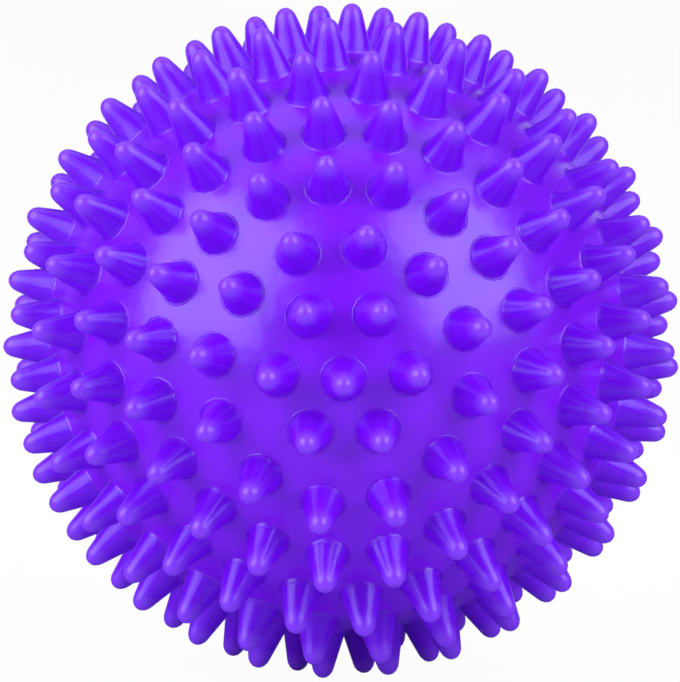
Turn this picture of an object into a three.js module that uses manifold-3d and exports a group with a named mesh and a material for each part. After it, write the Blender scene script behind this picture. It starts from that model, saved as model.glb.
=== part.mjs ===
// Spiky massage ball: a hollow soft ball moulded in two half shells that lap and bond behind the equator.
// Solid cone spikes stand on the shells in rings about the moulding axis, and a push-in air valve fills the rear pole.
// Frame: origin at the ball's centre, +Z up, moulding axis along Y, front pole towards -Y, valve towards +Y.
// Lengths are in millimetres, angles in degrees.

import * as THREE from "three";
import { mergeVertices } from "three/addons/utils/BufferGeometryUtils.js";
import Module from "manifold-3d";

// Ball
const TIP_DIAMETER = 90;
const WALL = 3.2;
const LAP_LENGTH = 3;
const CLEARANCE = 0.3;

// Spikes
const SPIKE_HEIGHT = 6.3;
const SPIKE_BASE_RADIUS = 2.75;
const SPIKE_TIP_RADIUS = 1.27;
const SPIKE_ROOT_DEPTH = 0.8;

// Rings of spikes, from the front pole to the equator. A phase is the turn from +Z towards +X of a ring's first spike.
const RING_COUNTS = [1, 6, 12, 19, 24, 28, 31, 31];
const RING_PHASES = [0, 27.3, 7.4, 12.5, 8.5, 3.6, 7.3, 0];
const INNER_RING = 1;
const INNER_RING_LIFT = 1;

// Valve
const PLUG_HEAD_RADIUS = 2.5;
const PLUG_HEAD_THICKNESS = 1.2;
const PLUG_HEAD_SUNK = 0.2;
const PLUG_STEM_RADIUS = 1.35;
const PLUG_STEM_TIP_RADIUS = 1.1;
const PLUG_STEM_LENGTH = 8.5;
const SEAT_NECK_WALL = 0.9;
const SEAT_FLANGE_WIDTH = 1.2;
const SEAT_FLANGE_THICKNESS = 1.1;
const SEAT_LIP_THICKNESS = 1;
const SEAT_BARREL_WALL = 0.95;
const SEAT_BARREL_OVERRUN = 0.8;
const NAIL_NOTCH_WIDTH = 2.2;
const NAIL_NOTCH_DEPTH = 0.6;
const NAIL_NOTCH_REACH = 1.5;

// Facets
const SHELL_SIDES = 24;
const SHELL_STEPS = 7;
const SPIKE_SIDES = 6;
const VALVE_SIDES = 24;

// Radii of the hollow ball
const TIP_RADIUS = TIP_DIAMETER / 2;
const BODY_RADIUS = TIP_RADIUS - SPIKE_HEIGHT;
const INNER_RADIUS = BODY_RADIUS - WALL;

// The seam lies halfway between the equator's ring and the next one behind it.
const EQUATOR_RING = RING_COUNTS.length - 1;
const RING_PITCH = 90 / EQUATOR_RING;
const SEAM_Y = BODY_RADIUS * Math.sin(radians(RING_PITCH / 2));
const LAP_END_Y = SEAM_Y + LAP_LENGTH;
const LAP_RADIUS = (heightAt(BODY_RADIUS, LAP_END_Y) + heightAt(INNER_RADIUS, SEAM_Y)) / 2;

// Valve radii, from the plug outwards
const BORE_RADIUS = PLUG_STEM_RADIUS + CLEARANCE;
const RECESS_RADIUS = PLUG_HEAD_RADIUS + CLEARANCE;
const NECK_RADIUS = RECESS_RADIUS + SEAT_NECK_WALL;
const FLANGE_RADIUS = NECK_RADIUS + SEAT_FLANGE_WIDTH;
const BARREL_RADIUS = BORE_RADIUS + SEAT_BARREL_WALL;
const HOLE_RADIUS = NECK_RADIUS + CLEARANCE;
const POCKET_RADIUS = FLANGE_RADIUS + CLEARANCE;

// Valve heights along +Y, from the flange's face inwards. The face is flush with the skin at the pocket's edge.
const FACE_Y = heightAt(BODY_RADIUS, POCKET_RADIUS);
const FLANGE_UNDER_Y = FACE_Y - SEAT_FLANGE_THICKNESS;
const POCKET_FLOOR_Y = FLANGE_UNDER_Y - CLEARANCE;
const HEAD_TOP_Y = FACE_Y - PLUG_HEAD_SUNK;
const HEAD_UNDER_Y = HEAD_TOP_Y - PLUG_HEAD_THICKNESS;
const RECESS_FLOOR_Y = HEAD_UNDER_Y - CLEARANCE;
const STEM_TIP_Y = HEAD_UNDER_Y - PLUG_STEM_LENGTH;
const LIP_TOP_Y = heightAt(INNER_RADIUS, FLANGE_RADIUS) - CLEARANCE;
const LIP_UNDER_Y = LIP_TOP_Y - SEAT_LIP_THICKNESS;
const BARREL_END_Y = STEM_TIP_Y - SEAT_BARREL_OVERRUN;

const wasm = await Module();
wasm.setup();

function radians(degrees) {
  return THREE.MathUtils.degToRad(degrees);
}

// The distance along one axis to a circle of this radius, at a given distance along the other.
function heightAt(radius, across) {
  return Math.sqrt(radius * radius - across * across);
}

function point(radius, y) {
  return new THREE.Vector2(radius, y);
}

// Points of a meridian from one height along Y to another.
function meridian(radius, fromY, toY, steps) {
  const start = Math.asin(fromY / radius);
  const turn = Math.asin(toY / radius) - start;
  const points = [];
  for (let i = 0; i <= steps; i++) {
    const latitude = start + (turn * i) / steps;
    points.push(point(Math.max(0, radius * Math.cos(latitude)), radius * Math.sin(latitude)));
  }
  return points;
}

// A geometry as a solid that can be joined and cut.
function solidFrom(geometry) {
  const bare = geometry.clone();
  bare.deleteAttribute("normal");
  bare.deleteAttribute("uv");
  const merged = mergeVertices(bare, 1e-4);
  return new wasm.Manifold(
    new wasm.Mesh({
      numProp: 3,
      vertProperties: merged.attributes.position.array,
      triVerts: new Uint32Array(merged.index.array),
    }),
  );
}

// A solid back as a geometry.
function geometryFrom(solid) {
  const made = solid.getMesh();
  const geometry = new THREE.BufferGeometry();
  geometry.setAttribute("position", new THREE.BufferAttribute(made.vertProperties, made.numProp));
  geometry.setIndex(new THREE.BufferAttribute(made.triVerts, 1));
  geometry.computeVertexNormals();
  return geometry;
}

// Every spike's outward direction, by ring, from the front pole towards the rear one.
function ringDirections(ring) {
  const mirrored = ring > EQUATOR_RING;
  const count = RING_COUNTS[mirrored ? 2 * EQUATOR_RING - ring : ring];
  const phase = mirrored ? 180 / count : RING_PHASES[ring];
  const fromPole = radians(RING_PITCH * ring);
  const lift = radians(ring === INNER_RING ? INNER_RING_LIFT : 0);
  const directions = [];
  for (let i = 0; i < count; i++) {
    const turn = radians(phase + (360 * i) / count);
    const across = Math.sin(fromPole);
    const direction = new THREE.Vector3(across * Math.sin(turn), -Math.cos(fromPole), across * Math.cos(turn));
    directions.push(direction.applyAxisAngle(new THREE.Vector3(1, 0, 0), -lift));
  }
  return directions;
}

// One cone spike along +Y, rooted in the skin, with a blunt tip. Its sides hold the round cone's section area.
function spikeGeometry() {
  const side = (2 * Math.PI) / SPIKE_SIDES;
  const fullness = Math.sqrt(side / Math.sin(side));
  const shoulderHeight = SPIKE_HEIGHT - SPIKE_TIP_RADIUS;
  const slope = (SPIKE_BASE_RADIUS - SPIKE_TIP_RADIUS) / shoulderHeight;
  const rootRadius = SPIKE_BASE_RADIUS + slope * SPIKE_ROOT_DEPTH;
  const profile = [
    point(0, -SPIKE_ROOT_DEPTH),
    point(rootRadius * fullness, -SPIKE_ROOT_DEPTH),
    point(SPIKE_TIP_RADIUS * fullness, shoulderHeight),
    point(0, SPIKE_HEIGHT),
  ];
  return new THREE.LatheGeometry(profile, SPIKE_SIDES);
}

// A half shell with the spikes of its rings joined on.
function spikedShell(profile, firstRing, lastRing) {
  const up = new THREE.Vector3(0, 1, 0);
  const spike = spikeGeometry();
  let shell = solidFrom(new THREE.LatheGeometry(profile, SHELL_SIDES));
  for (let ring = firstRing; ring <= lastRing; ring++) {
    for (const direction of ringDirections(ring)) {
      const placed = spike.clone();
      placed.applyQuaternion(new THREE.Quaternion().setFromUnitVectors(up, direction));
      placed.translate(...direction.multiplyScalar(BODY_RADIUS));
      shell = shell.add(solidFrom(placed));
    }
  }
  return shell;
}

// Front half: its inner tongue reaches past the seam, inside the rear half's lip.
function frontHalfShell() {
  const tongueRadius = LAP_RADIUS - CLEARANCE / 2;
  const profile = [
    ...meridian(BODY_RADIUS, -BODY_RADIUS, SEAM_Y, SHELL_STEPS),
    point(tongueRadius, SEAM_Y),
    point(tongueRadius, LAP_END_Y),
    ...meridian(INNER_RADIUS, LAP_END_Y, -INNER_RADIUS, SHELL_STEPS),
  ];
  return geometryFrom(spikedShell(profile, 0, EQUATOR_RING));
}

// The stepped hole through the rear pole that takes the valve seat.
function valvePocket() {
  const profile = [
    point(0, 0),
    point(HOLE_RADIUS, 0),
    point(HOLE_RADIUS, POCKET_FLOOR_Y),
    point(POCKET_RADIUS, POCKET_FLOOR_Y),
    point(POCKET_RADIUS, TIP_RADIUS),
    point(0, TIP_RADIUS),
  ];
  return solidFrom(new THREE.LatheGeometry(profile, VALVE_SIDES));
}

// Rear half: its outer lip covers the front half's tongue.
function rearHalfShell() {
  const lipRadius = LAP_RADIUS + CLEARANCE / 2;
  const profile = [
    ...meridian(INNER_RADIUS, INNER_RADIUS, LAP_END_Y + CLEARANCE, SHELL_STEPS),
    point(lipRadius, LAP_END_Y + CLEARANCE),
    point(lipRadius, SEAM_Y + CLEARANCE),
    ...meridian(BODY_RADIUS, SEAM_Y + CLEARANCE, BODY_RADIUS, SHELL_STEPS),
  ];
  const shell = spikedShell(profile, EQUATOR_RING + 1, 2 * EQUATOR_RING - 1);
  return geometryFrom(shell.subtract(valvePocket()));
}

// Valve seat: outer flange, neck through the wall, inner lip and barrel, bored through, with a recess for the plug's
// head and a notch beside it for a fingernail.
function valveSeat() {
  const profile = [
    point(BORE_RADIUS, BARREL_END_Y),
    point(BARREL_RADIUS, BARREL_END_Y),
    point(BARREL_RADIUS, LIP_UNDER_Y),
    point(FLANGE_RADIUS, LIP_UNDER_Y),
    point(FLANGE_RADIUS, LIP_TOP_Y),
    point(NECK_RADIUS, LIP_TOP_Y),
    point(NECK_RADIUS, FLANGE_UNDER_Y),
    point(FLANGE_RADIUS, FLANGE_UNDER_Y),
    point(FLANGE_RADIUS, FACE_Y),
    point(RECESS_RADIUS, FACE_Y),
    point(RECESS_RADIUS, RECESS_FLOOR_Y),
    point(BORE_RADIUS, RECESS_FLOOR_Y),
    point(BORE_RADIUS, BARREL_END_Y),
  ];
  const seat = solidFrom(new THREE.LatheGeometry(profile, VALVE_SIDES));
  const notchLength = RECESS_RADIUS + NAIL_NOTCH_REACH;
  const notch = new THREE.BoxGeometry(NAIL_NOTCH_WIDTH, 2 * NAIL_NOTCH_DEPTH, notchLength);
  notch.translate(0, FACE_Y, notchLength / 2);
  return geometryFrom(seat.subtract(solidFrom(notch)));
}

// Valve plug: a flat head on a plain tapered stem.
function valvePlug() {
  const profile = [
    point(0, STEM_TIP_Y),
    point(PLUG_STEM_TIP_RADIUS, STEM_TIP_Y),
    point(PLUG_STEM_RADIUS, HEAD_UNDER_Y),
    point(PLUG_HEAD_RADIUS, HEAD_UNDER_Y),
    point(PLUG_HEAD_RADIUS, HEAD_TOP_Y),
    point(0, HEAD_TOP_Y),
  ];
  return new THREE.LatheGeometry(profile, VALVE_SIDES);
}

const violet = new THREE.MeshStandardMaterial({ color: 0x6a1df0, roughness: 0.38, metalness: 0 });
const deepViolet = new THREE.MeshStandardMaterial({ color: 0x5a12d8, roughness: 0.45, metalness: 0 });
const milkWhite = new THREE.MeshStandardMaterial({ color: 0xe9e6ee, roughness: 0.4, metalness: 0 });

function named(name, geometry, material) {
  const mesh = new THREE.Mesh(geometry, material);
  mesh.name = name;
  return mesh;
}

const ball = new THREE.Group();
ball.add(
  named("front_half_shell", frontHalfShell(), violet),
  named("rear_half_shell", rearHalfShell(), violet),
  named("valve_seat", valveSeat(), deepViolet),
  named("valve_plug", valvePlug(), milkWhite),
);

export default ball;
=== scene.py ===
"""Spiky massage ball: smooth spiked half shells, the air valve and a white studio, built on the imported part.

Lengths are in metres. The moulding axis lies along Y, the front pole faces -Y and the valve faces +Y.
"""

import math

import bmesh
import bpy
import numpy as np
from mathutils import Matrix, Vector


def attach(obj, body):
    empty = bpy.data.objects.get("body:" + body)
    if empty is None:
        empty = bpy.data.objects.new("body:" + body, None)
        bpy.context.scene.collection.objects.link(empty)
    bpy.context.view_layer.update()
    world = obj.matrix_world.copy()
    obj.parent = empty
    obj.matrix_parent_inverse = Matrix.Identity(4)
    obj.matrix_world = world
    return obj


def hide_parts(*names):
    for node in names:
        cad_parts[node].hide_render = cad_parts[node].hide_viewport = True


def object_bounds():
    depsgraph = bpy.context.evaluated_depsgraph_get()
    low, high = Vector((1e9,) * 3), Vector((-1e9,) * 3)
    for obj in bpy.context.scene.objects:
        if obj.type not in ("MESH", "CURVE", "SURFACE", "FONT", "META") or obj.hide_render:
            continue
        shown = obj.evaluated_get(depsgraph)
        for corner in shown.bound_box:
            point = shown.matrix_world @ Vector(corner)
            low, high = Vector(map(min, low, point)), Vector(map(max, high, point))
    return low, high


bl_info = {
    "name": "Spiky massage ball",
    "version": (1, 0, 0),
    "blender": (4, 5, 0),
    "location": "3D View > Sidebar > Massage ball",
    "description": "Builds a hollow spiky massage ball with its air valve, in a plain white studio",
    "category": "Object",
}

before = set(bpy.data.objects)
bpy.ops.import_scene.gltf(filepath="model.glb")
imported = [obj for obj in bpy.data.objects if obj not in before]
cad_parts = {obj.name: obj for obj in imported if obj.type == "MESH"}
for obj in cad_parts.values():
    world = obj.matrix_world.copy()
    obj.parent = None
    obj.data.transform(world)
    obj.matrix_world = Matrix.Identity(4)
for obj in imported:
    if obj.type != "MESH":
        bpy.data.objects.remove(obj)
CAD_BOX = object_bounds()

MM = 0.001
TIP_RADIUS = -CAD_BOX[0].y

# A length under this counts as none.
NO_LENGTH = 1e-7

# Rings of spikes, from the front pole to the equator. A phase turns a ring from +Z towards +X, in degrees.
RING_COUNTS = (1, 6, 12, 19, 24, 28, 31, 31)
RING_PHASES = (0, 27.3, 7.4, 12.5, 8.5, 3.6, 7.3, 0)
INNER_RING = 1
INNER_RING_LIFT = 1
EQUATOR_RING = len(RING_COUNTS) - 1
RING_PITCH = 90 / EQUATOR_RING

# Facets
SHELL_SIDES = 120
SKIN_STEPS = 44
INNER_STEPS = 22
EDGE_STEPS = 3
SPIKE_SIDES = 14
VALVE_SIDES = 64
NOTCH_STEPS = 16
FLOOR_SIDES = 96
SWEEP_STEPS = 12
SHARP_ANGLE = math.radians(35)

# Rows round a spike's nose, in degrees from its point, and the height of the lowest row of its cone.
NOSE_ANGLES = (20, 40, 60, 78)
CONE_FOOT = 0.35 * MM

# The dish in the plug's head, as shares of the head's radius and thickness.
DISH_RADIUS_SHARE = 0.72
DISH_DEPTH_SHARE = 0.12

# A corner on the outer skin: how far under the ball's radius it may lie, and the least cosine of its slant.
SKIN_SLACK = 0.1 * MM
FACES_OUT = 0.9

# The tree that stands the spikes on the skin, and its attributes: the way a spike faces, a corner's place
# on its spike, and the spike's tone.
SPIKE_TREE = "spiked_skin"
SPIKE_FACING = "facing"
SPIKE_PLACE = "spike_place"
SPIKE_TONE = "spike_tone"

# What is added to the seed for the draws after the spikes' sizes.
LEAN_SEEDS = (1, 2)
TONE_SEED = 3

# What the camera saw. The picture's size, the ball's place in it and the focal length are in pixels, the
# distance and the clipping in metres, the turns in degrees and the sensor in millimetres.
PICTURE_WIDTH = 680
PICTURE_HEIGHT = 682
BALL_X = 341.4
BALL_Y = 340.2
FOCAL_PIXELS = 7899
CAMERA_DISTANCE = 1.05
CAMERA_RISE = 7.49
CAMERA_TURN = 0.4
BALL_ROLL = 1.87
SENSOR = 36
CLIP_START = 0.05
CLIP_END = 20

# Softboxes: azimuth and elevation in degrees, then distance, width and height in metres.
LEFT_SOFTBOX = (-59, 28, 0.75, 0.76, 0.74)
RIGHT_SOFTBOX = (55, 33, 0.75, 0.62, 0.68)
TOP_SOFTBOX = (180, 78, 0.8, 1.2, 0.6)

# Where the floor starts to look white in the gloss and where it is full white. 1 is straight behind the ball.
BACK_START = 0.7
BACK_FULL = 0.96

WHITE = (1, 1, 1, 1)
Y_TO_Z = Matrix(((1, 0, 0), (0, 0, -1), (0, 1, 0))).to_4x4()

# Places of a mix node's colour sockets, which share their names with its other sockets.
MIX_FIRST = 6
MIX_SECOND = 7
MIX_RESULT = 2

# Noise patterns: scale, detail and roughness.
SHELL_CLOUDS = (70, 3, 0.5)
SHELL_MOTTLE = (420, 3, 0.6)
SHELL_GRAIN = (520, 1, 0.5)
LINE_BENDS = (3, 1, 0.5)
LINE_PATCHES = (2, 2, 0.5)
SEAT_CLOUDS = (300, 3, 0.5)
SEAT_GRAIN = (4200, 3, 0.5)
PLUG_FLOW = (420, 4, 0.6)
PLUG_GRAIN = (5200, 2, 0.5)

# Drawn lines down a spike: how many there are, how far they bend, in radians of their wave, how fast the
# bends change along the spike and from one spike to the next, how deep the lines are, and the range of their
# strength, which is cut off at 0 and 1.
LINE_COUNT = 26
LINE_BEND = 12
LINE_RUN = 60
LINE_SHIFT = 40
LINE_DEPTH = 0.012 * MM
LINE_STRENGTHS = (-0.6, 1.8)

# Where a nose's finish, a painted highlight with added roughness, starts and where it is full, in nose lengths
# down from the spike's point.
NOSE_START = 1.6
NOSE_FULL = 0.45

# Darker and lighter shades, as shares of a colour.
SKIN_SHADES = (0.8, 1.19)
SPIKE_SHADES = (0.93, 1.06)
DEEP_SHADE = 0.9
SEAT_SHADES = (0.86, 1.1)
PLUG_SHADES = (0.9, 1.05)

# The mottle's share beside the clouds, the most that a deep spike's colour covers, and the most that the
# noses' painted highlight covers.
MOTTLE_SHARE = 0.6
DEEP_SHARE = 0.35
NOSE_HIGHLIGHT_SHARE = 0.8

# Gloss: roughness, the shine of the skin and of the spikes' sides, and bumps as a strength and a depth.
SKIN_ROUGHNESS_SPREAD = 0.03
SEAT_ROUGHNESS = (0.36, 0.52)
PLUG_ROUGHNESS = (0.34, 0.48)
SKIN_SHINE = 0.5
SPIKE_SHINE = 0.33
SHELL_BUMP = (0.5, 0.08 * MM)
SEAT_BUMP = (0.3, 0.03 * MM)
PLUG_BUMP = (0.25, 0.02 * MM)
SHELL_IOR = 1.46
VALVE_IOR = 1.5


def amount_property(name, description, default, **options):
    return bpy.props.FloatProperty(name=name, description=description, default=default, min=0, **options)


def distance_property(name, description, metres, **options):
    return amount_property(name, description, metres, subtype="DISTANCE", unit="LENGTH", **options)


def length_property(name, description, millimetres):
    return distance_property(name, description, millimetres * MM, precision=5)


def share_property(name, description, default):
    return amount_property(name, description, default, max=1, subtype="FACTOR")


def colour_property(name, description, colour):
    return bpy.props.FloatVectorProperty(
        name=name, description=description, default=colour, size=4, min=0, max=1, subtype="COLOR"
    )


class ShellSettings(bpy.types.PropertyGroup):
    """Sizes and finish of the spiked half shells."""

    spike_height: length_property("Spike height", "How far a spike stands off the skin", 6.3)
    spike_base: length_property("Spike base", "Radius of a spike's cone, just above the skin", 2.62)
    nose_radius: length_property("Nose radius", "Half the width of a spike's round nose", 1.5)
    nose_length: length_property("Nose length", "How far that nose runs down the spike", 1.87)
    root_depth: length_property("Root depth", "How far a spike's root runs into the skin", 1.2)
    ring_radius: length_property("Ring radius", "Radius of the fine ring round a spike's foot", 3.05)
    ring_width: length_property("Ring width", "Width of that ring", 0.28)
    ring_height: length_property("Ring height", "How far that ring stands off the skin", 0.055)
    wall: length_property("Wall", "Thickness of the skin", 3.2)
    lap: length_property("Lap", "How far the halves overlap at the seam", 3)
    seam_gap: length_property("Seam gap", "Width of the parting line between the halves", 0.1)
    edge_round: length_property("Edge round", "Radius of the moulded edges along the parting line", 0.25)
    size_spread: share_property("Size spread", "How much the spikes differ in size", 0.008)
    lean_spread: amount_property(
        "Lean spread",
        "How far a spike leans off its straight line",
        math.radians(0.6),
        subtype="ANGLE",
        unit="ROTATION",
    )
    seed: bpy.props.IntProperty(
        name="Seed", description="Picks one set of small differences", default=7, min=0
    )
    skin_colour: colour_property("Skin", "Colour of the thin skin", (0.161, 0.004, 0.715, 1))
    spike_colour: colour_property("Spike", "Colour of the solid spikes", (0.147, 0.0012, 0.735, 1))
    # Painted highlight: the noses are lighter and whiter than the spikes, standing in for the broad sheen
    # their round tips catch.
    nose_highlight_colour: colour_property("Nose", "Colour of the worn noses", (0.184, 0.034, 0.78, 1))
    skin_roughness: share_property("Skin roughness", "Roughness of the satin skin", 0.25)
    spike_roughness: share_property("Spike roughness", "Roughness of the spikes' sides", 0.28)
    nose_frosting: share_property("Nose frosting", "Roughness that wear adds to the noses", 0.04)


class ValveSettings(bpy.types.PropertyGroup):
    """Sizes and finish of the air valve."""

    head_radius: length_property("Head radius", "Radius of the plug's head", 2.5)
    head_thickness: length_property("Head thickness", "Thickness of the plug's head", 1.2)
    head_sunk: length_property("Head sunk", "How far the head lies under the flange's face", 0.2)
    stem_radius: length_property("Stem radius", "Radius of the plug's stem at its root", 1.35)
    stem_tip_radius: length_property("Stem tip radius", "Radius of the plug's stem at its tip", 1.1)
    stem_length: length_property("Stem length", "Length of the plug's stem", 8.5)
    clearance: length_property("Clearance", "Room between the pieces of the valve", 0.3)
    neck_wall: length_property("Neck wall", "Wall of the seat's neck", 0.9)
    flange_width: length_property("Flange width", "How far the flange stands out from the neck", 1.2)
    flange_thickness: length_property("Flange thickness", "Thickness of the outer flange", 1.1)
    lip_thickness: length_property("Lip thickness", "Thickness of the inner lip", 1)
    barrel_wall: length_property("Barrel wall", "Wall of the seat's barrel", 0.95)
    barrel_overrun: length_property("Barrel overrun", "How far the barrel runs past the stem", 0.8)
    notch_width: length_property("Notch width", "Width of the fingernail notch", 2.2)
    notch_depth: length_property("Notch depth", "Depth of the fingernail notch", 0.6)
    notch_reach: length_property("Notch reach", "How far the notch runs past the recess", 1.5)
    edge_round: length_property("Edge round", "Radius of the moulded edges", 0.18)
    seat_colour: colour_property("Seat", "Colour of the valve seat", (0.105, 0.006, 0.66, 1))
    plug_colour: colour_property("Plug", "Colour of the valve plug", (0.8, 0.77, 0.85, 1))


class StageSettings(bpy.types.PropertyGroup):
    """Floor and light of the studio."""

    floor_size: distance_property("Floor size", "Radius of the floor", 3.5)
    rim: distance_property("Rim", "Height of the floor's swept edge", 2.5)
    floor_colour: colour_property("Floor", "Colour of the floor", (0.88, 0.88, 0.89, 1))
    gloss_tone: share_property(
        "Gloss tone", "How light the ball's gloss shows the floor that isn't straight behind it", 0.04
    )
    whiteness: share_property("Whiteness", "How much of the floor's shade the background drops", 0.965)
    surround: amount_property("Surround", "Level of the light from all sides", 0.09)
    left_power: amount_property("Left power", "Power of the left softbox", 7.4, unit="POWER")
    right_power: amount_property("Right power", "Power of the right softbox", 5.9, unit="POWER")
    top_power: amount_property("Top power", "Power of the top softbox", 2.4, unit="POWER")


def sphere_height(radius, across):
    """The distance along one axis to a circle of this radius, at a given distance along the other."""
    return math.sqrt(radius * radius - across * across)


def meridian(radius, start_y, end_y, steps):
    """Points of a ball's section, as distance from the Y axis and height along it."""
    start = math.asin(max(-1, min(1, start_y / radius)))
    turn = math.asin(max(-1, min(1, end_y / radius))) - start
    angles = [start + turn * i / steps for i in range(steps + 1)]
    return [(radius * math.cos(angle), radius * math.sin(angle)) for angle in angles]


def rounded(profile, radius, closed):
    """A section with its sharp corners rounded by short arcs."""
    count = len(profile)
    made = []
    for i, corner in enumerate(profile):
        at = Vector(corner)
        before = Vector(profile[i - 1]) - at
        after = Vector(profile[(i + 1) % count]) - at
        on_end = not closed and i in (0, count - 1)
        if on_end or before.angle(after) > math.pi - SHARP_ANGLE:
            made.append(corner)
            continue
        reach = min(radius, before.length / 2, after.length / 2)
        start = at + before.normalized() * reach
        end = at + after.normalized() * reach
        for step in range(EDGE_STEPS + 1):
            t = step / EDGE_STEPS
            made.append(tuple(start * (1 - t) ** 2 + at * (2 * t * (1 - t)) + end * t**2))
    return made


def revolve(name, profile, sides, closed=False):
    """A mesh turned about the Y axis from a section. An open section starts and ends on the axis."""
    work = bmesh.new()
    rings = []
    for radius, height in profile:
        on_axis = radius < NO_LENGTH
        turns = [0] if on_axis else [2 * math.pi * i / sides for i in range(sides)]
        rings.append([work.verts.new((radius * math.sin(t), height, radius * math.cos(t))) for t in turns])
    pairs = list(zip(rings, rings[1:]))
    if closed:
        pairs.append((rings[-1], rings[0]))
    for low, high in pairs:
        for i in range(sides):
            corners = [
                low[i % len(low)],
                low[(i + 1) % len(low)],
                high[(i + 1) % len(high)],
                high[i % len(high)],
            ]
            face = list(dict.fromkeys(corners))
            if len(face) > 2:
                work.faces.new(face)
    bmesh.ops.recalc_face_normals(work, faces=work.faces)
    mesh = bpy.data.meshes.new(name)
    work.to_mesh(mesh)
    work.free()
    return mesh


def add_object(name, mesh):
    made = bpy.data.objects.new(name, mesh)
    bpy.context.scene.collection.objects.link(made)
    return made


def remove_object(made):
    mesh = made.data
    bpy.data.objects.remove(made)
    bpy.data.meshes.remove(mesh)


def as_plain_mesh(made):
    """Turns an object's modifiers into its own mesh."""
    depsgraph = bpy.context.evaluated_depsgraph_get()
    result = bpy.data.meshes.new_from_object(made.evaluated_get(depsgraph), depsgraph=depsgraph)
    result.name = made.name
    before = made.data
    made.modifiers.clear()
    made.data = result
    bpy.data.meshes.remove(before)


def add_node(tree, kind, inputs=None, **options):
    """Adds a node, sets its options, and fills its inputs with values or with other nodes' outputs."""
    made = tree.nodes.new(kind)
    for option, value in options.items():
        setattr(made, option, value)
    for socket, value in (inputs or {}).items():
        if isinstance(value, bpy.types.NodeSocket):
            tree.links.new(value, made.inputs[socket])
        else:
            made.inputs[socket].default_value = value
    return made


def add_math(tree, operation, *values):
    return add_node(tree, "ShaderNodeMath", dict(enumerate(values)), operation=operation).outputs[0]


def add_vector_math(tree, operation, *values):
    return add_node(tree, "ShaderNodeVectorMath", dict(enumerate(values)), operation=operation).outputs[0]


def add_random(tree, low, high, seed):
    return add_node(
        tree, "FunctionNodeRandomValue", {"Min": low, "Max": high, "Seed": seed}, data_type="FLOAT"
    ).outputs["Value"]


# Shapes


def skin_radius(shell):
    return TIP_RADIUS - shell.spike_height


def seam_y(shell):
    """The seam lies halfway between the equator's ring and the next one behind it."""
    return skin_radius(shell) * math.sin(math.radians(RING_PITCH / 2))


def lap_radius(shell):
    seam = seam_y(shell)
    outer = sphere_height(skin_radius(shell), seam + shell.lap)
    inner = sphere_height(skin_radius(shell) - shell.wall, seam)
    return (outer + inner) / 2


def ring_directions(ring):
    """Every spike's outward direction in one ring, counted from the front pole towards the rear one."""
    mirrored = ring > EQUATOR_RING
    count = RING_COUNTS[2 * EQUATOR_RING - ring if mirrored else ring]
    phase = 180 / count if mirrored else RING_PHASES[ring]
    from_pole = math.radians(RING_PITCH * ring)
    lift = Matrix.Rotation(-math.radians(INNER_RING_LIFT if ring == INNER_RING else 0), 3, "X")
    across = math.sin(from_pole)
    ahead = -math.cos(from_pole)
    directions = []
    for i in range(count):
        turn = math.radians(phase + 360 * i / count)
        directions.append(lift @ Vector((across * math.sin(turn), ahead, across * math.cos(turn))))
    return directions


def spike_profile(shell):
    """Section of one spike along +Y: a round nose, a cone, a fine ring round its foot, and a root."""
    radius = skin_radius(shell)
    skin_y = sphere_height(radius, shell.ring_radius) - radius
    sunk_y = skin_y - shell.ring_height
    rows = [(0, shell.spike_height)]
    for angle in (math.radians(degrees) for degrees in NOSE_ANGLES):
        drop = shell.nose_length * (1 - math.cos(angle))
        rows.append((shell.nose_radius * math.sin(angle), shell.spike_height - drop))
    rows += [
        (shell.spike_base, CONE_FOOT),
        (shell.ring_radius - shell.ring_width / 2, sunk_y),
        (shell.ring_radius, skin_y + shell.ring_height),
        (shell.ring_radius + shell.ring_width / 2, sunk_y),
        (shell.ring_radius + shell.ring_width / 2, skin_y - shell.root_depth),
        (0, skin_y - shell.root_depth),
    ]
    fullness = 1 / math.sqrt(math.cos(math.pi / SPIKE_SIDES))
    return [(across * fullness, height) for across, height in rows]


def front_section(shell):
    """Section of the front half, whose inner tongue reaches past the seam."""
    radius = skin_radius(shell)
    seam = seam_y(shell)
    tongue = lap_radius(shell) - shell.seam_gap / 2
    outer = meridian(radius, -radius, seam, SKIN_STEPS)
    inner = meridian(radius - shell.wall, seam + shell.lap, shell.wall - radius, INNER_STEPS)
    step = [(tongue, seam), (tongue, seam + shell.lap)]
    return rounded(outer + step + inner, shell.edge_round, closed=False)


def rear_section(shell, valve):
    """Section of the rear half, whose outer lip covers the tongue, with a stepped hole for the valve seat."""
    radius = skin_radius(shell)
    inside = radius - shell.wall
    start = seam_y(shell) + shell.seam_gap
    end = start + shell.lap
    lip = lap_radius(shell) + shell.seam_gap / 2
    hole = valve_radii(valve)["hole"]
    pocket = valve_radii(valve)["pocket"]
    floor = valve_heights(shell, valve)["pocket_floor"]
    inner = meridian(inside, sphere_height(inside, hole), end, INNER_STEPS)
    outer = meridian(radius, start, sphere_height(radius, pocket), SKIN_STEPS)
    section = inner + [(lip, end), (lip, start)] + outer + [(pocket, floor), (hole, floor)]
    return rounded(section, shell.edge_round, closed=True)


def valve_radii(valve):
    """Radii of the valve, from the plug outwards."""
    bore = valve.stem_radius + valve.clearance
    recess = valve.head_radius + valve.clearance
    neck = recess + valve.neck_wall
    flange = neck + valve.flange_width
    return {
        "bore": bore,
        "recess": recess,
        "neck": neck,
        "flange": flange,
        "barrel": bore + valve.barrel_wall,
        "hole": neck + valve.clearance,
        "pocket": flange + valve.clearance,
    }


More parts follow.
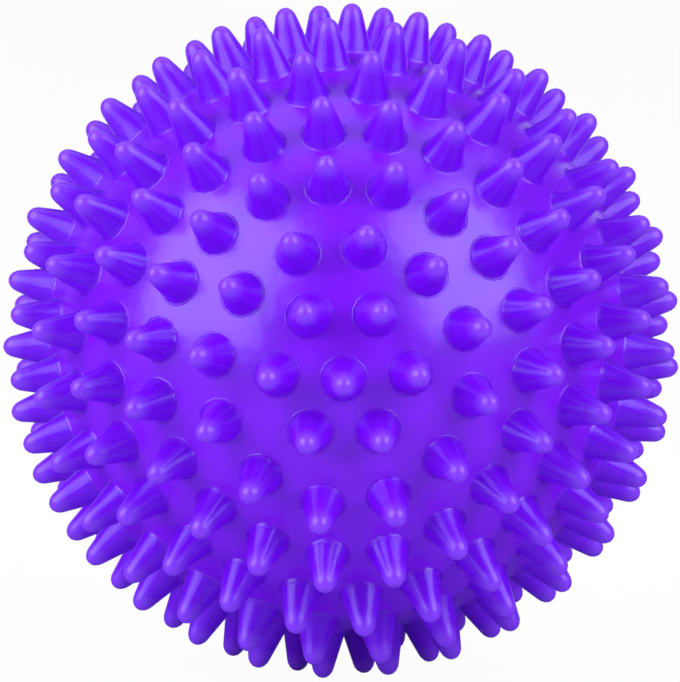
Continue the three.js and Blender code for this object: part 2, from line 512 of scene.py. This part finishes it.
def valve_heights(shell, valve):
    """Heights of the valve along +Y, from the flange's face inwards."""
    radii = valve_radii(valve)
    face = sphere_height(skin_radius(shell), radii["pocket"])
    flange_under = face - valve.flange_thickness
    head_top = face - valve.head_sunk
    head_under = head_top - valve.head_thickness
    stem_tip = head_under - valve.stem_length
    lip_top = sphere_height(skin_radius(shell) - shell.wall, radii["flange"]) - valve.clearance
    return {
        "face": face,
        "flange_under": flange_under,
        "pocket_floor": flange_under - valve.clearance,
        "head_top": head_top,
        "head_under": head_under,
        "recess_floor": head_under - valve.clearance,
        "stem_tip": stem_tip,
        "lip_top": lip_top,
        "lip_under": lip_top - valve.lip_thickness,
        "barrel_end": stem_tip - valve.barrel_overrun,
    }


def spike_points(name, shell, rings):
    """One point for each spike, on the skin, with the way it faces."""
    directions = [d for ring in rings for d in ring_directions(ring)]
    mesh = bpy.data.meshes.new(name)
    mesh.from_pydata([d * skin_radius(shell) for d in directions], [], [])
    facing = mesh.attributes.new(SPIKE_FACING, "FLOAT_VECTOR", "POINT")
    facing.data.foreach_set("vector", [part for d in directions for part in d])
    return add_object(name, mesh)


def spiked_skin_tree():
    """Node tree that stands a spike on every point, and joins the spikes and the skin into one surface."""
    tree = bpy.data.node_groups.new(SPIKE_TREE, "GeometryNodeTree")
    tree.is_modifier = True
    sockets = {
        "Skin": "NodeSocketGeometry",
        "Spike": "NodeSocketObject",
        "Points": "NodeSocketObject",
        "Size spread": "NodeSocketFloat",
        "Lean spread": "NodeSocketFloat",
        "Seed": "NodeSocketInt",
        "Sharp angle": "NodeSocketFloat",
        "Material": "NodeSocketMaterial",
    }
    for name, kind in sockets.items():
        tree.interface.new_socket(name=name, in_out="INPUT", socket_type=kind)
    tree.interface.new_socket(name="Spiked skin", in_out="OUTPUT", socket_type="NodeSocketGeometry")
    given = tree.nodes.new("NodeGroupInput").outputs

    spike = add_node(tree, "GeometryNodeObjectInfo", {"Object": given["Spike"]})
    place = add_node(tree, "GeometryNodeInputPosition")
    marked = add_node(
        tree,
        "GeometryNodeStoreNamedAttribute",
        {"Geometry": spike.outputs["Geometry"], "Name": SPIKE_PLACE, "Value": place.outputs[0]},
        data_type="FLOAT_VECTOR",
        domain="CORNER",
    )

    points = add_node(tree, "GeometryNodeObjectInfo", {"Object": given["Points"]})
    facing = add_node(
        tree, "GeometryNodeInputNamedAttribute", {"Name": SPIKE_FACING}, data_type="FLOAT_VECTOR"
    )
    straight = add_node(
        tree, "FunctionNodeAlignRotationToVector", {"Vector": facing.outputs["Attribute"]}, axis="Y"
    )
    lean_low = add_math(tree, "MULTIPLY", given["Lean spread"], -1)
    lean_parts = [
        add_random(tree, lean_low, given["Lean spread"], add_math(tree, "ADD", given["Seed"], step))
        for step in LEAN_SEEDS
    ]
    lean = add_node(tree, "ShaderNodeCombineXYZ", {"X": lean_parts[0], "Z": lean_parts[1]})
    turn = add_node(tree, "FunctionNodeEulerToRotation", {"Euler": lean.outputs[0]})
    leaning = add_node(
        tree,
        "FunctionNodeRotateRotation",
        {"Rotation": straight.outputs[0], "Rotate By": turn.outputs[0]},
        rotation_space="LOCAL",
    )
    smallest = add_math(tree, "SUBTRACT", 1, given["Size spread"])
    size = add_random(tree, smallest, 1.0, given["Seed"])
    stood = add_node(
        tree,
        "GeometryNodeInstanceOnPoints",
        {
            "Points": points.outputs["Geometry"],
            "Instance": marked.outputs[0],
            "Rotation": leaning.outputs[0],
            "Scale": size,
        },
    )
    tone = add_random(tree, 0.0, 1.0, add_math(tree, "ADD", given["Seed"], TONE_SEED))
    toned = add_node(
        tree,
        "GeometryNodeStoreNamedAttribute",
        {"Geometry": stood.outputs[0], "Name": SPIKE_TONE, "Value": tone},
        data_type="FLOAT",
        domain="INSTANCE",
    )
    spikes = add_node(tree, "GeometryNodeRealizeInstances", {"Geometry": toned.outputs[0]})

    union = add_node(tree, "GeometryNodeMeshBoolean", operation="UNION", solver="MANIFOLD")
    tree.links.new(spikes.outputs[0], union.inputs["Mesh 2"])
    tree.links.new(given["Skin"], union.inputs["Mesh 2"])
    faces = add_node(
        tree,
        "GeometryNodeSetShadeSmooth",
        {"Geometry": union.outputs[0], "Shade Smooth": True},
        domain="FACE",
    )
    angle = add_node(tree, "GeometryNodeInputMeshEdgeAngle")
    crisp = add_math(tree, "GREATER_THAN", angle.outputs["Unsigned Angle"], given["Sharp angle"])
    edges = add_node(
        tree,
        "GeometryNodeSetShadeSmooth",
        {"Geometry": faces.outputs[0], "Selection": crisp, "Shade Smooth": False},
        domain="EDGE",
    )
    painted = add_node(
        tree, "GeometryNodeSetMaterial", {"Geometry": edges.outputs[0], "Material": given["Material"]}
    )
    out = tree.nodes.new("NodeGroupOutput")
    tree.links.new(painted.outputs[0], out.inputs[0])
    return tree


def set_input(modifier, name, value):
    """Sets one named input of a node modifier, by the socket's identifier."""
    for item in modifier.node_group.interface.items_tree:
        if item.item_type == "SOCKET" and item.in_out == "INPUT" and item.name == name:
            modifier[item.identifier] = value
            return
    raise RuntimeError(f"the tree has no input named {name}")


def round_skin_normals(mesh, radius):
    """Gives the outer skin between the spikes the shading of a true ball."""
    corners = len(mesh.loops)
    place = np.zeros(corners * 3, np.float32)
    mesh.attributes[SPIKE_PLACE].data.foreach_get("vector", place)
    # A corner of the skin has no place on a spike.
    on_skin = np.linalg.norm(place.reshape(-1, 3), axis=1) < NO_LENGTH
    vertex = np.zeros(corners, np.int32)
    mesh.loops.foreach_get("vertex_index", vertex)
    spots = np.zeros(len(mesh.vertices) * 3, np.float32)
    mesh.vertices.foreach_get("co", spots)
    at = spots.reshape(-1, 3)[vertex]
    away = np.linalg.norm(at, axis=1)
    normals = np.zeros(corners * 3, np.float32)
    mesh.corner_normals.foreach_get("vector", normals)
    normals = normals.reshape(-1, 3)
    straight = at / away[:, None]
    faces_out = np.sum(normals * straight, axis=1) > FACES_OUT
    outer = on_skin & (away > radius - SKIN_SLACK) & faces_out
    normals[outer] = straight[outer]
    mesh.normals_split_custom_set(normals.tolist())


def spiked_shell(name, section, closed, rings, shell, material):
    """One half shell with its spikes, as a plain mesh."""
    made = add_object(name, revolve(name, section, SHELL_SIDES, closed))
    spike = add_object("spike", revolve("spike", spike_profile(shell), SPIKE_SIDES))
    points = spike_points("spike_points", shell, rings)
    modifier = made.modifiers.new("Spikes", "NODES")
    modifier.node_group = bpy.data.node_groups.get(SPIKE_TREE) or spiked_skin_tree()
    set_input(modifier, "Spike", spike)
    set_input(modifier, "Points", points)
    set_input(modifier, "Size spread", shell.size_spread)
    set_input(modifier, "Lean spread", shell.lean_spread)
    set_input(modifier, "Seed", shell.seed)
    set_input(modifier, "Sharp angle", SHARP_ANGLE)
    set_input(modifier, "Material", material)
    as_plain_mesh(made)
    remove_object(spike)
    remove_object(points)
    round_skin_normals(made.data, skin_radius(shell))
    return made


def smooth_shaded(mesh):
    """Shades a turned piece smooth, with crisp edges at its steps."""
    mesh.shade_smooth()
    mesh.set_sharp_from_angle(angle=SHARP_ANGLE)


def cut_away(made, cutter):
    """Cuts one closed shape out of a piece."""
    modifier = made.modifiers.new("Cut", "BOOLEAN")
    modifier.operation = "DIFFERENCE"
    modifier.solver = "MANIFOLD"
    modifier.object = cutter
    as_plain_mesh(made)
    remove_object(cutter)


def seat_section(shell, valve):
    """Section of the valve seat: barrel, inner lip, neck, outer flange and a recess for the plug."""
    radii = valve_radii(valve)
    heights = valve_heights(shell, valve)
    section = [
        (radii["bore"], heights["barrel_end"]),
        (radii["barrel"], heights["barrel_end"]),
        (radii["barrel"], heights["lip_under"]),
        (radii["flange"], heights["lip_under"]),
        (radii["flange"], heights["lip_top"]),
        (radii["neck"], heights["lip_top"]),
        (radii["neck"], heights["flange_under"]),
        (radii["flange"], heights["flange_under"]),
        (radii["flange"], heights["face"]),
        (radii["recess"], heights["face"]),
        (radii["recess"], heights["recess_floor"]),
        (radii["bore"], heights["recess_floor"]),
    ]
    return rounded(section, valve.edge_round, closed=True)


def plug_section(shell, valve):
    """Section of the valve plug: a tapered stem under a flat head with a shallow dish in it."""
    heights = valve_heights(shell, valve)
    rim = valve.head_radius * DISH_RADIUS_SHARE
    dish = valve.head_thickness * DISH_DEPTH_SHARE
    section = [
        (0, heights["stem_tip"]),
        (valve.stem_tip_radius, heights["stem_tip"]),
        (valve.stem_radius, heights["head_under"]),
        (valve.head_radius, heights["head_under"]),
        (valve.head_radius, heights["head_top"]),
        (rim, heights["head_top"]),
        (rim - dish, heights["head_top"] - dish),
        (0, heights["head_top"] - dish),
    ]
    return rounded(section, valve.edge_round, closed=False)


def notch_cutter(shell, valve):
    """A round-ended bar that scoops the fingernail notch out of the flange."""
    face = valve_heights(shell, valve)["face"]
    reach = valve_radii(valve)["recess"] + valve.notch_reach
    half = valve.notch_width / 2
    work = bmesh.new()
    outline = []
    for i in range(NOTCH_STEPS + 1):
        turn = math.pi * i / NOTCH_STEPS
        outline.append((half * math.cos(turn), reach - half + half * math.sin(turn)))
    outline += [(-half, 0), (half, 0)]
    low = [work.verts.new((x, face - valve.notch_depth, z)) for x, z in outline]
    high = [work.verts.new((x, face + valve.notch_depth, z)) for x, z in outline]
    work.faces.new(low)
    work.faces.new(high)
    for i in range(len(outline)):
        j = (i + 1) % len(outline)
        work.faces.new((low[i], low[j], high[j], high[i]))
    bmesh.ops.recalc_face_normals(work, faces=work.faces)
    mesh = bpy.data.meshes.new("notch_cutter")
    work.to_mesh(mesh)
    work.free()
    return add_object("notch_cutter", mesh)


# Finishes


def new_material(name):
    material = bpy.data.materials.new(name)
    material.use_nodes = True
    tree = material.node_tree
    return material, tree, tree.nodes["Principled BSDF"]


def add_noise(tree, pattern, place):
    scale, detail, roughness = pattern
    return add_node(
        tree,
        "ShaderNodeTexNoise",
        {"Vector": place, "Scale": scale, "Detail": detail, "Roughness": roughness},
    ).outputs["Fac"]


def object_noise(tree, pattern):
    return add_noise(tree, pattern, add_node(tree, "ShaderNodeTexCoord").outputs["Object"])


def add_bump(tree, bump, height):
    strength, depth = bump
    return add_node(
        tree, "ShaderNodeBump", {"Strength": strength, "Distance": depth, "Height": height}
    ).outputs[0]


def mix_colour(tree, factor, first, second):
    return add_node(
        tree,
        "ShaderNodeMix",
        {"Factor": factor, MIX_FIRST: first, MIX_SECOND: second},
        data_type="RGBA",
    ).outputs[MIX_RESULT]


def spread(tree, value, low, high):
    """A 0 to 1 value moved to another range."""
    return add_node(
        tree, "ShaderNodeMapRange", {"Value": value, "To Min": low, "To Max": high}
    ).outputs["Result"]


def eased(tree, value, start, end, low=0):
    """A value that rises gently from low to 1 between two limits."""
    return add_node(
        tree,
        "ShaderNodeMapRange",
        {"Value": value, "From Min": start, "From Max": end, "To Min": low},
        interpolation_type="SMOOTHSTEP",
    ).outputs["Result"]


def shaded(colour, share):
    return (*(part * share for part in colour[:3]), 1)


def mix_shades(tree, factor, colour, shades):
    """A colour between its darker and its lighter shade."""
    darker, lighter = shades
    return mix_colour(tree, factor, shaded(colour, darker), shaded(colour, lighter))


def drawn_lines(tree, parts, tone):
    """The lines down a spike's sides, from 0 to 1, and how strong they are as they come and go."""
    around = add_node(tree, "ShaderNodeCombineXYZ", {"X": parts["X"], "Z": parts["Z"]}).outputs[0]
    along = add_math(tree, "MULTIPLY", parts["Y"], LINE_RUN)
    along = add_math(tree, "MULTIPLY_ADD", tone, LINE_SHIFT, along)
    run = add_node(tree, "ShaderNodeCombineXYZ", {"Y": along}).outputs[0]
    place = add_vector_math(tree, "ADD", add_vector_math(tree, "NORMALIZE", around), run)
    turn = add_math(tree, "ARCTAN2", parts["Z"], parts["X"])
    wave = add_math(tree, "MULTIPLY", turn, LINE_COUNT)
    wave = add_math(tree, "MULTIPLY_ADD", add_noise(tree, LINE_BENDS, place), LINE_BEND, wave)
    lines = add_math(tree, "MULTIPLY_ADD", add_math(tree, "SINE", wave), 0.5, 0.5)
    strength = spread(tree, add_noise(tree, LINE_PATCHES, place), *LINE_STRENGTHS)
    return lines, strength


def shell_material(shell):
    """Soft satin vinyl: a mottled skin, deeper spikes with drawn lines, and frosted noses with a painted
    highlight.
    """
    material, tree, surface = new_material("satin_violet_vinyl")
    place = add_node(tree, "ShaderNodeAttribute", attribute_name=SPIKE_PLACE).outputs["Vector"]
    tone = add_node(tree, "ShaderNodeAttribute", attribute_name=SPIKE_TONE).outputs["Fac"]
    parts = add_node(tree, "ShaderNodeSeparateXYZ", {0: place}).outputs
    on_spike = eased(tree, parts["Y"], 0, CONE_FOOT)
    nose_start = shell.spike_height - NOSE_START * shell.nose_length
    nose_full = shell.spike_height - NOSE_FULL * shell.nose_length
    nose = eased(tree, parts["Y"], nose_start, nose_full)
    lines, line_strength = drawn_lines(tree, parts, tone)

    mottle = object_noise(tree, SHELL_MOTTLE)
    clouds = add_math(tree, "MULTIPLY", object_noise(tree, SHELL_CLOUDS), 1 - MOTTLE_SHARE)
    blotches = add_math(tree, "MULTIPLY_ADD", mottle, MOTTLE_SHARE, clouds)
    skin = mix_shades(tree, blotches, shell.skin_colour, SKIN_SHADES)
    spike = mix_shades(tree, lines, shell.spike_colour, SPIKE_SHADES)
    deep = add_math(tree, "MULTIPLY", tone, DEEP_SHARE)
    spike = mix_colour(tree, deep, spike, shaded(shell.spike_colour, DEEP_SHADE))
    # Painted highlight: the noses are mixed towards a lighter, whiter colour that stands in for the sheen
    # their round tips catch.
    spike = mix_colour(tree, add_math(tree, "MULTIPLY", nose, NOSE_HIGHLIGHT_SHARE), spike, shell.nose_highlight_colour)
    tree.links.new(mix_colour(tree, on_spike, skin, spike), surface.inputs["Base Color"])

    smoothest = shell.skin_roughness - SKIN_ROUGHNESS_SPREAD
    roughest = shell.skin_roughness + SKIN_ROUGHNESS_SPREAD
    skin_rough = spread(tree, mottle, smoothest, roughest)
    spike_rough = add_math(tree, "MULTIPLY_ADD", nose, shell.nose_frosting, shell.spike_roughness)
    rough = add_node(
        tree, "ShaderNodeMix", {"Factor": on_spike, "A": skin_rough, "B": spike_rough}, data_type="FLOAT"
    ).outputs[0]
    tree.links.new(rough, surface.inputs["Roughness"])

    peel = add_bump(tree, SHELL_BUMP, object_noise(tree, SHELL_GRAIN))
    on_cone = add_math(tree, "SUBTRACT", on_spike, nose)
    on_lines = add_math(tree, "MULTIPLY", on_cone, line_strength)
    drawn = add_node(
        tree,
        "ShaderNodeBump",
        {
            "Strength": add_node(tree, "ShaderNodeClamp", {"Value": on_lines}).outputs[0],
            "Distance": LINE_DEPTH,
            "Height": lines,
            "Normal": peel,
        },
    ).outputs[0]
    tree.links.new(drawn, surface.inputs["Normal"])
    shine = spread(tree, on_cone, SKIN_SHINE, SPIKE_SHINE)
    tree.links.new(shine, surface.inputs["Specular IOR Level"])
    surface.inputs["IOR"].default_value = SHELL_IOR
    return material


def grained_material(name, colour, shades, clouds, grain, roughness, bump):
    """A plain moulded finish: a clouded colour, and a fine grain in its gloss and on its surface."""
    material, tree, surface = new_material(name)
    shade = mix_shades(tree, object_noise(tree, clouds), colour, shades)
    tree.links.new(shade, surface.inputs["Base Color"])
    fine = object_noise(tree, grain)
    tree.links.new(spread(tree, fine, *roughness), surface.inputs["Roughness"])
    tree.links.new(add_bump(tree, bump, fine), surface.inputs["Normal"])
    surface.inputs["IOR"].default_value = VALVE_IOR
    return material


def seat_material(valve):
    """Deep violet vinyl with a fine matt grain."""
    return grained_material(
        "deep_violet_vinyl",
        valve.seat_colour,
        SEAT_SHADES,
        SEAT_CLOUDS,
        SEAT_GRAIN,
        SEAT_ROUGHNESS,
        SEAT_BUMP,
    )


def plug_material(valve):
    """Milky soft plastic with faint flow marks."""
    return grained_material(
        "milky_plastic",
        valve.plug_colour,
        PLUG_SHADES,
        PLUG_FLOW,
        PLUG_GRAIN,
        PLUG_ROUGHNESS,
        PLUG_BUMP,
    )


def floor_material(stage):
    """A pale floor. The camera sees it as an even white with a faint shadow.

    The ball's gloss shows it white straight behind the ball and dark elsewhere.
    """
    material = bpy.data.materials.new("pale_floor")
    material.use_nodes = True
    tree = material.node_tree
    tree.nodes.clear()
    path = add_node(tree, "ShaderNodeLightPath").outputs
    in_gloss = add_math(tree, "MAXIMUM", path["Is Glossy Ray"], path["Is Transmission Ray"])
    seen = add_math(tree, "MAXIMUM", path["Is Camera Ray"], in_gloss)
    place = add_node(tree, "ShaderNodeTexCoord").outputs["Object"]
    way = add_vector_math(tree, "NORMALIZE", place)
    back = add_node(tree, "ShaderNodeSeparateXYZ", {0: way}).outputs["Y"]
    behind = eased(tree, back, BACK_START, BACK_FULL, stage.gloss_tone)
    tone = add_math(tree, "MAXIMUM", path["Is Camera Ray"], behind)
    plain = add_node(tree, "ShaderNodeBsdfDiffuse", {"Color": stage.floor_colour[:]})
    even = add_node(tree, "ShaderNodeEmission", {"Color": WHITE, "Strength": tone})
    share = add_math(tree, "MULTIPLY", seen, stage.whiteness)
    mixed = add_node(tree, "ShaderNodeMixShader", {0: share, 1: plain.outputs[0], 2: even.outputs[0]})
    add_node(tree, "ShaderNodeOutputMaterial", {"Surface": mixed.outputs[0]})
    return material


def floor_mesh(stage):
    """A wide round floor that sweeps up at its edge, so that it fills every level view."""
    low = CAD_BOX[0].z
    sweep = meridian(stage.rim, -stage.rim, 0, SWEEP_STEPS)
    profile = [(0, low)] + [(stage.floor_size + across, low + stage.rim + height) for across, height in sweep]
    mesh = revolve("floor", profile, FLOOR_SIDES)
    mesh.transform(Y_TO_Z)
    mesh.shade_smooth()
    return mesh


def set_world(stage):
    world = bpy.data.worlds.new("studio")
    bpy.context.scene.world = world
    world.use_nodes = True
    tree = world.node_tree
    tree.nodes.clear()
    background = add_node(tree, "ShaderNodeBackground", {"Color": WHITE, "Strength": stage.surround})
    add_node(tree, "ShaderNodeOutputWorld", {"Surface": background.outputs[0]})


def add_softbox(name, placing, power):
    """A large soft lamp that faces the ball. Azimuth 0 is the camera's side, and 90 the ball's right."""
    azimuth, elevation, distance, width, height = placing
    lamp = bpy.data.lights.new(name, "AREA")
    lamp.shape = "RECTANGLE"
    lamp.size = width
    lamp.size_y = height
    lamp.energy = power
    made = bpy.data.objects.new(name, lamp)
    bpy.context.scene.collection.objects.link(made)
    turn = math.radians(azimuth)
    rise = math.radians(elevation)
    level = math.cos(rise)
    away = Vector((math.sin(turn) * level, -math.cos(turn) * level, math.sin(rise)))
    made.location = away * distance
    made.rotation_mode = "QUATERNION"
    made.rotation_quaternion = (-away).to_track_quat("-Z", "Y")


def add_camera():
    """The camera at the photograph's angle, with the ball at its place in the picture."""
    roll = math.radians(BALL_ROLL)
    rise = math.radians(CAMERA_RISE)
    turn = math.radians(CAMERA_TURN)
    picture_up = Vector((-math.sin(roll), 0, math.cos(roll)))
    level = Vector((-math.sin(turn), -math.cos(turn), 0))
    back = level * math.cos(rise) + picture_up * math.sin(rise)
    right = picture_up.cross(back).normalized()
    up = back.cross(right)
    scale = CAMERA_DISTANCE / FOCAL_PIXELS
    aim = -right * ((BALL_X - PICTURE_WIDTH / 2) * scale) + up * ((BALL_Y - PICTURE_HEIGHT / 2) * scale)
    place = back * CAMERA_DISTANCE
    back = (place - aim).normalized()
    right = up.cross(back).normalized()
    up = back.cross(right)
    data = bpy.data.cameras.new("camera")
    data.sensor_fit = "HORIZONTAL"
    data.sensor_width = SENSOR
    data.lens = FOCAL_PIXELS / PICTURE_WIDTH * SENSOR
    data.clip_start = CLIP_START
    data.clip_end = CLIP_END
    camera = bpy.data.objects.new("camera", data)
    bpy.context.scene.collection.objects.link(camera)
    pose = Matrix((right, up, back)).transposed().to_4x4()
    camera.matrix_world = Matrix.Translation(place) @ pose
    bpy.context.scene.camera = camera


# Operators


class BALL_OT_half_shells(bpy.types.Operator):
    """Builds the front and rear half shells with their spikes"""

    bl_idname = "massage_ball.half_shells"
    bl_label = "Half shells"

    def execute(self, context):
        shell = context.scene.ball_shell
        valve = context.scene.ball_valve
        material = shell_material(shell)
        front_rings = range(EQUATOR_RING + 1)
        rear_rings = range(EQUATOR_RING + 1, 2 * EQUATOR_RING)
        front = spiked_shell("front_shell", front_section(shell), False, front_rings, shell, material)
        rear = spiked_shell("rear_shell", rear_section(shell, valve), True, rear_rings, shell, material)
        for made, node in ((front, "front_half_shell"), (rear, "rear_half_shell")):
            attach(made, "ball")
            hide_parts(node)
        return {"FINISHED"}


class BALL_OT_valve_seat(bpy.types.Operator):
    """Builds the valve seat in the rear pole"""

    bl_idname = "massage_ball.valve_seat"
    bl_label = "Valve seat"

    def execute(self, context):
        shell = context.scene.ball_shell
        valve = context.scene.ball_valve
        made = add_object("seat", revolve("seat", seat_section(shell, valve), VALVE_SIDES, closed=True))
        cut_away(made, notch_cutter(shell, valve))
        smooth_shaded(made.data)
        made.data.materials.clear()
        made.data.materials.append(seat_material(valve))
        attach(made, "ball")
        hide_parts("valve_seat")
        return {"FINISHED"}


class BALL_OT_valve_plug(bpy.types.Operator):
    """Builds the plug that closes the valve"""

    bl_idname = "massage_ball.valve_plug"
    bl_label = "Valve plug"

    def execute(self, context):
        shell = context.scene.ball_shell
        valve = context.scene.ball_valve
        made = add_object("plug", revolve("plug", plug_section(shell, valve), VALVE_SIDES))
        smooth_shaded(made.data)
        made.data.materials.append(plug_material(valve))
        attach(made, "plug")
        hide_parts("valve_plug")
        return {"FINISHED"}


class BALL_OT_stage(bpy.types.Operator):
    """Builds the floor, the lamps and the camera"""

    bl_idname = "massage_ball.stage"
    bl_label = "Studio"

    def execute(self, context):
        stage = context.scene.ball_stage
        floor = add_object("floor", floor_mesh(stage))
        floor.data.materials.append(floor_material(stage))
        set_world(stage)
        add_softbox("left_softbox", LEFT_SOFTBOX, stage.left_power)
        add_softbox("right_softbox", RIGHT_SOFTBOX, stage.right_power)
        add_softbox("top_softbox", TOP_SOFTBOX, stage.top_power)
        add_camera()
        context.scene.view_settings.view_transform = "Standard"
        return {"FINISHED"}


class BALL_PT_panel(bpy.types.Panel):
    """Lists the ball's sizes, finishes and pieces"""

    bl_idname = "BALL_PT_panel"
    bl_label = "Massage ball"
    bl_space_type = "VIEW_3D"
    bl_region_type = "UI"
    bl_category = "Massage ball"

    def draw(self, context):
        for title, settings in (
            ("Shell", context.scene.ball_shell),
            ("Valve", context.scene.ball_valve),
            ("Studio", context.scene.ball_stage),
        ):
            box = self.layout.box()
            box.label(text=title)
            for name in settings.__annotations__:
                box.prop(settings, name)
        for operator in OPERATORS:
            self.layout.operator(operator.bl_idname)


SETTINGS = {"ball_shell": ShellSettings, "ball_valve": ValveSettings, "ball_stage": StageSettings}
OPERATORS = (BALL_OT_half_shells, BALL_OT_valve_seat, BALL_OT_valve_plug, BALL_OT_stage)


def register():
    for kind in (*SETTINGS.values(), *OPERATORS, BALL_PT_panel):
        bpy.utils.register_class(kind)
    for name, kind in SETTINGS.items():
        setattr(bpy.types.Scene, name, bpy.props.PointerProperty(type=kind))


def unregister():
    for name in SETTINGS:
        delattr(bpy.types.Scene, name)
    for kind in reversed((*SETTINGS.values(), *OPERATORS, BALL_PT_panel)):
        bpy.utils.unregister_class(kind)


def main():
    register()
    bpy.ops.massage_ball.half_shells()
    bpy.ops.massage_ball.valve_seat()
    bpy.ops.massage_ball.valve_plug()
    bpy.ops.massage_ball.stage()
    bpy.context.view_layer.update()


if __name__ == "__main__":
    main()
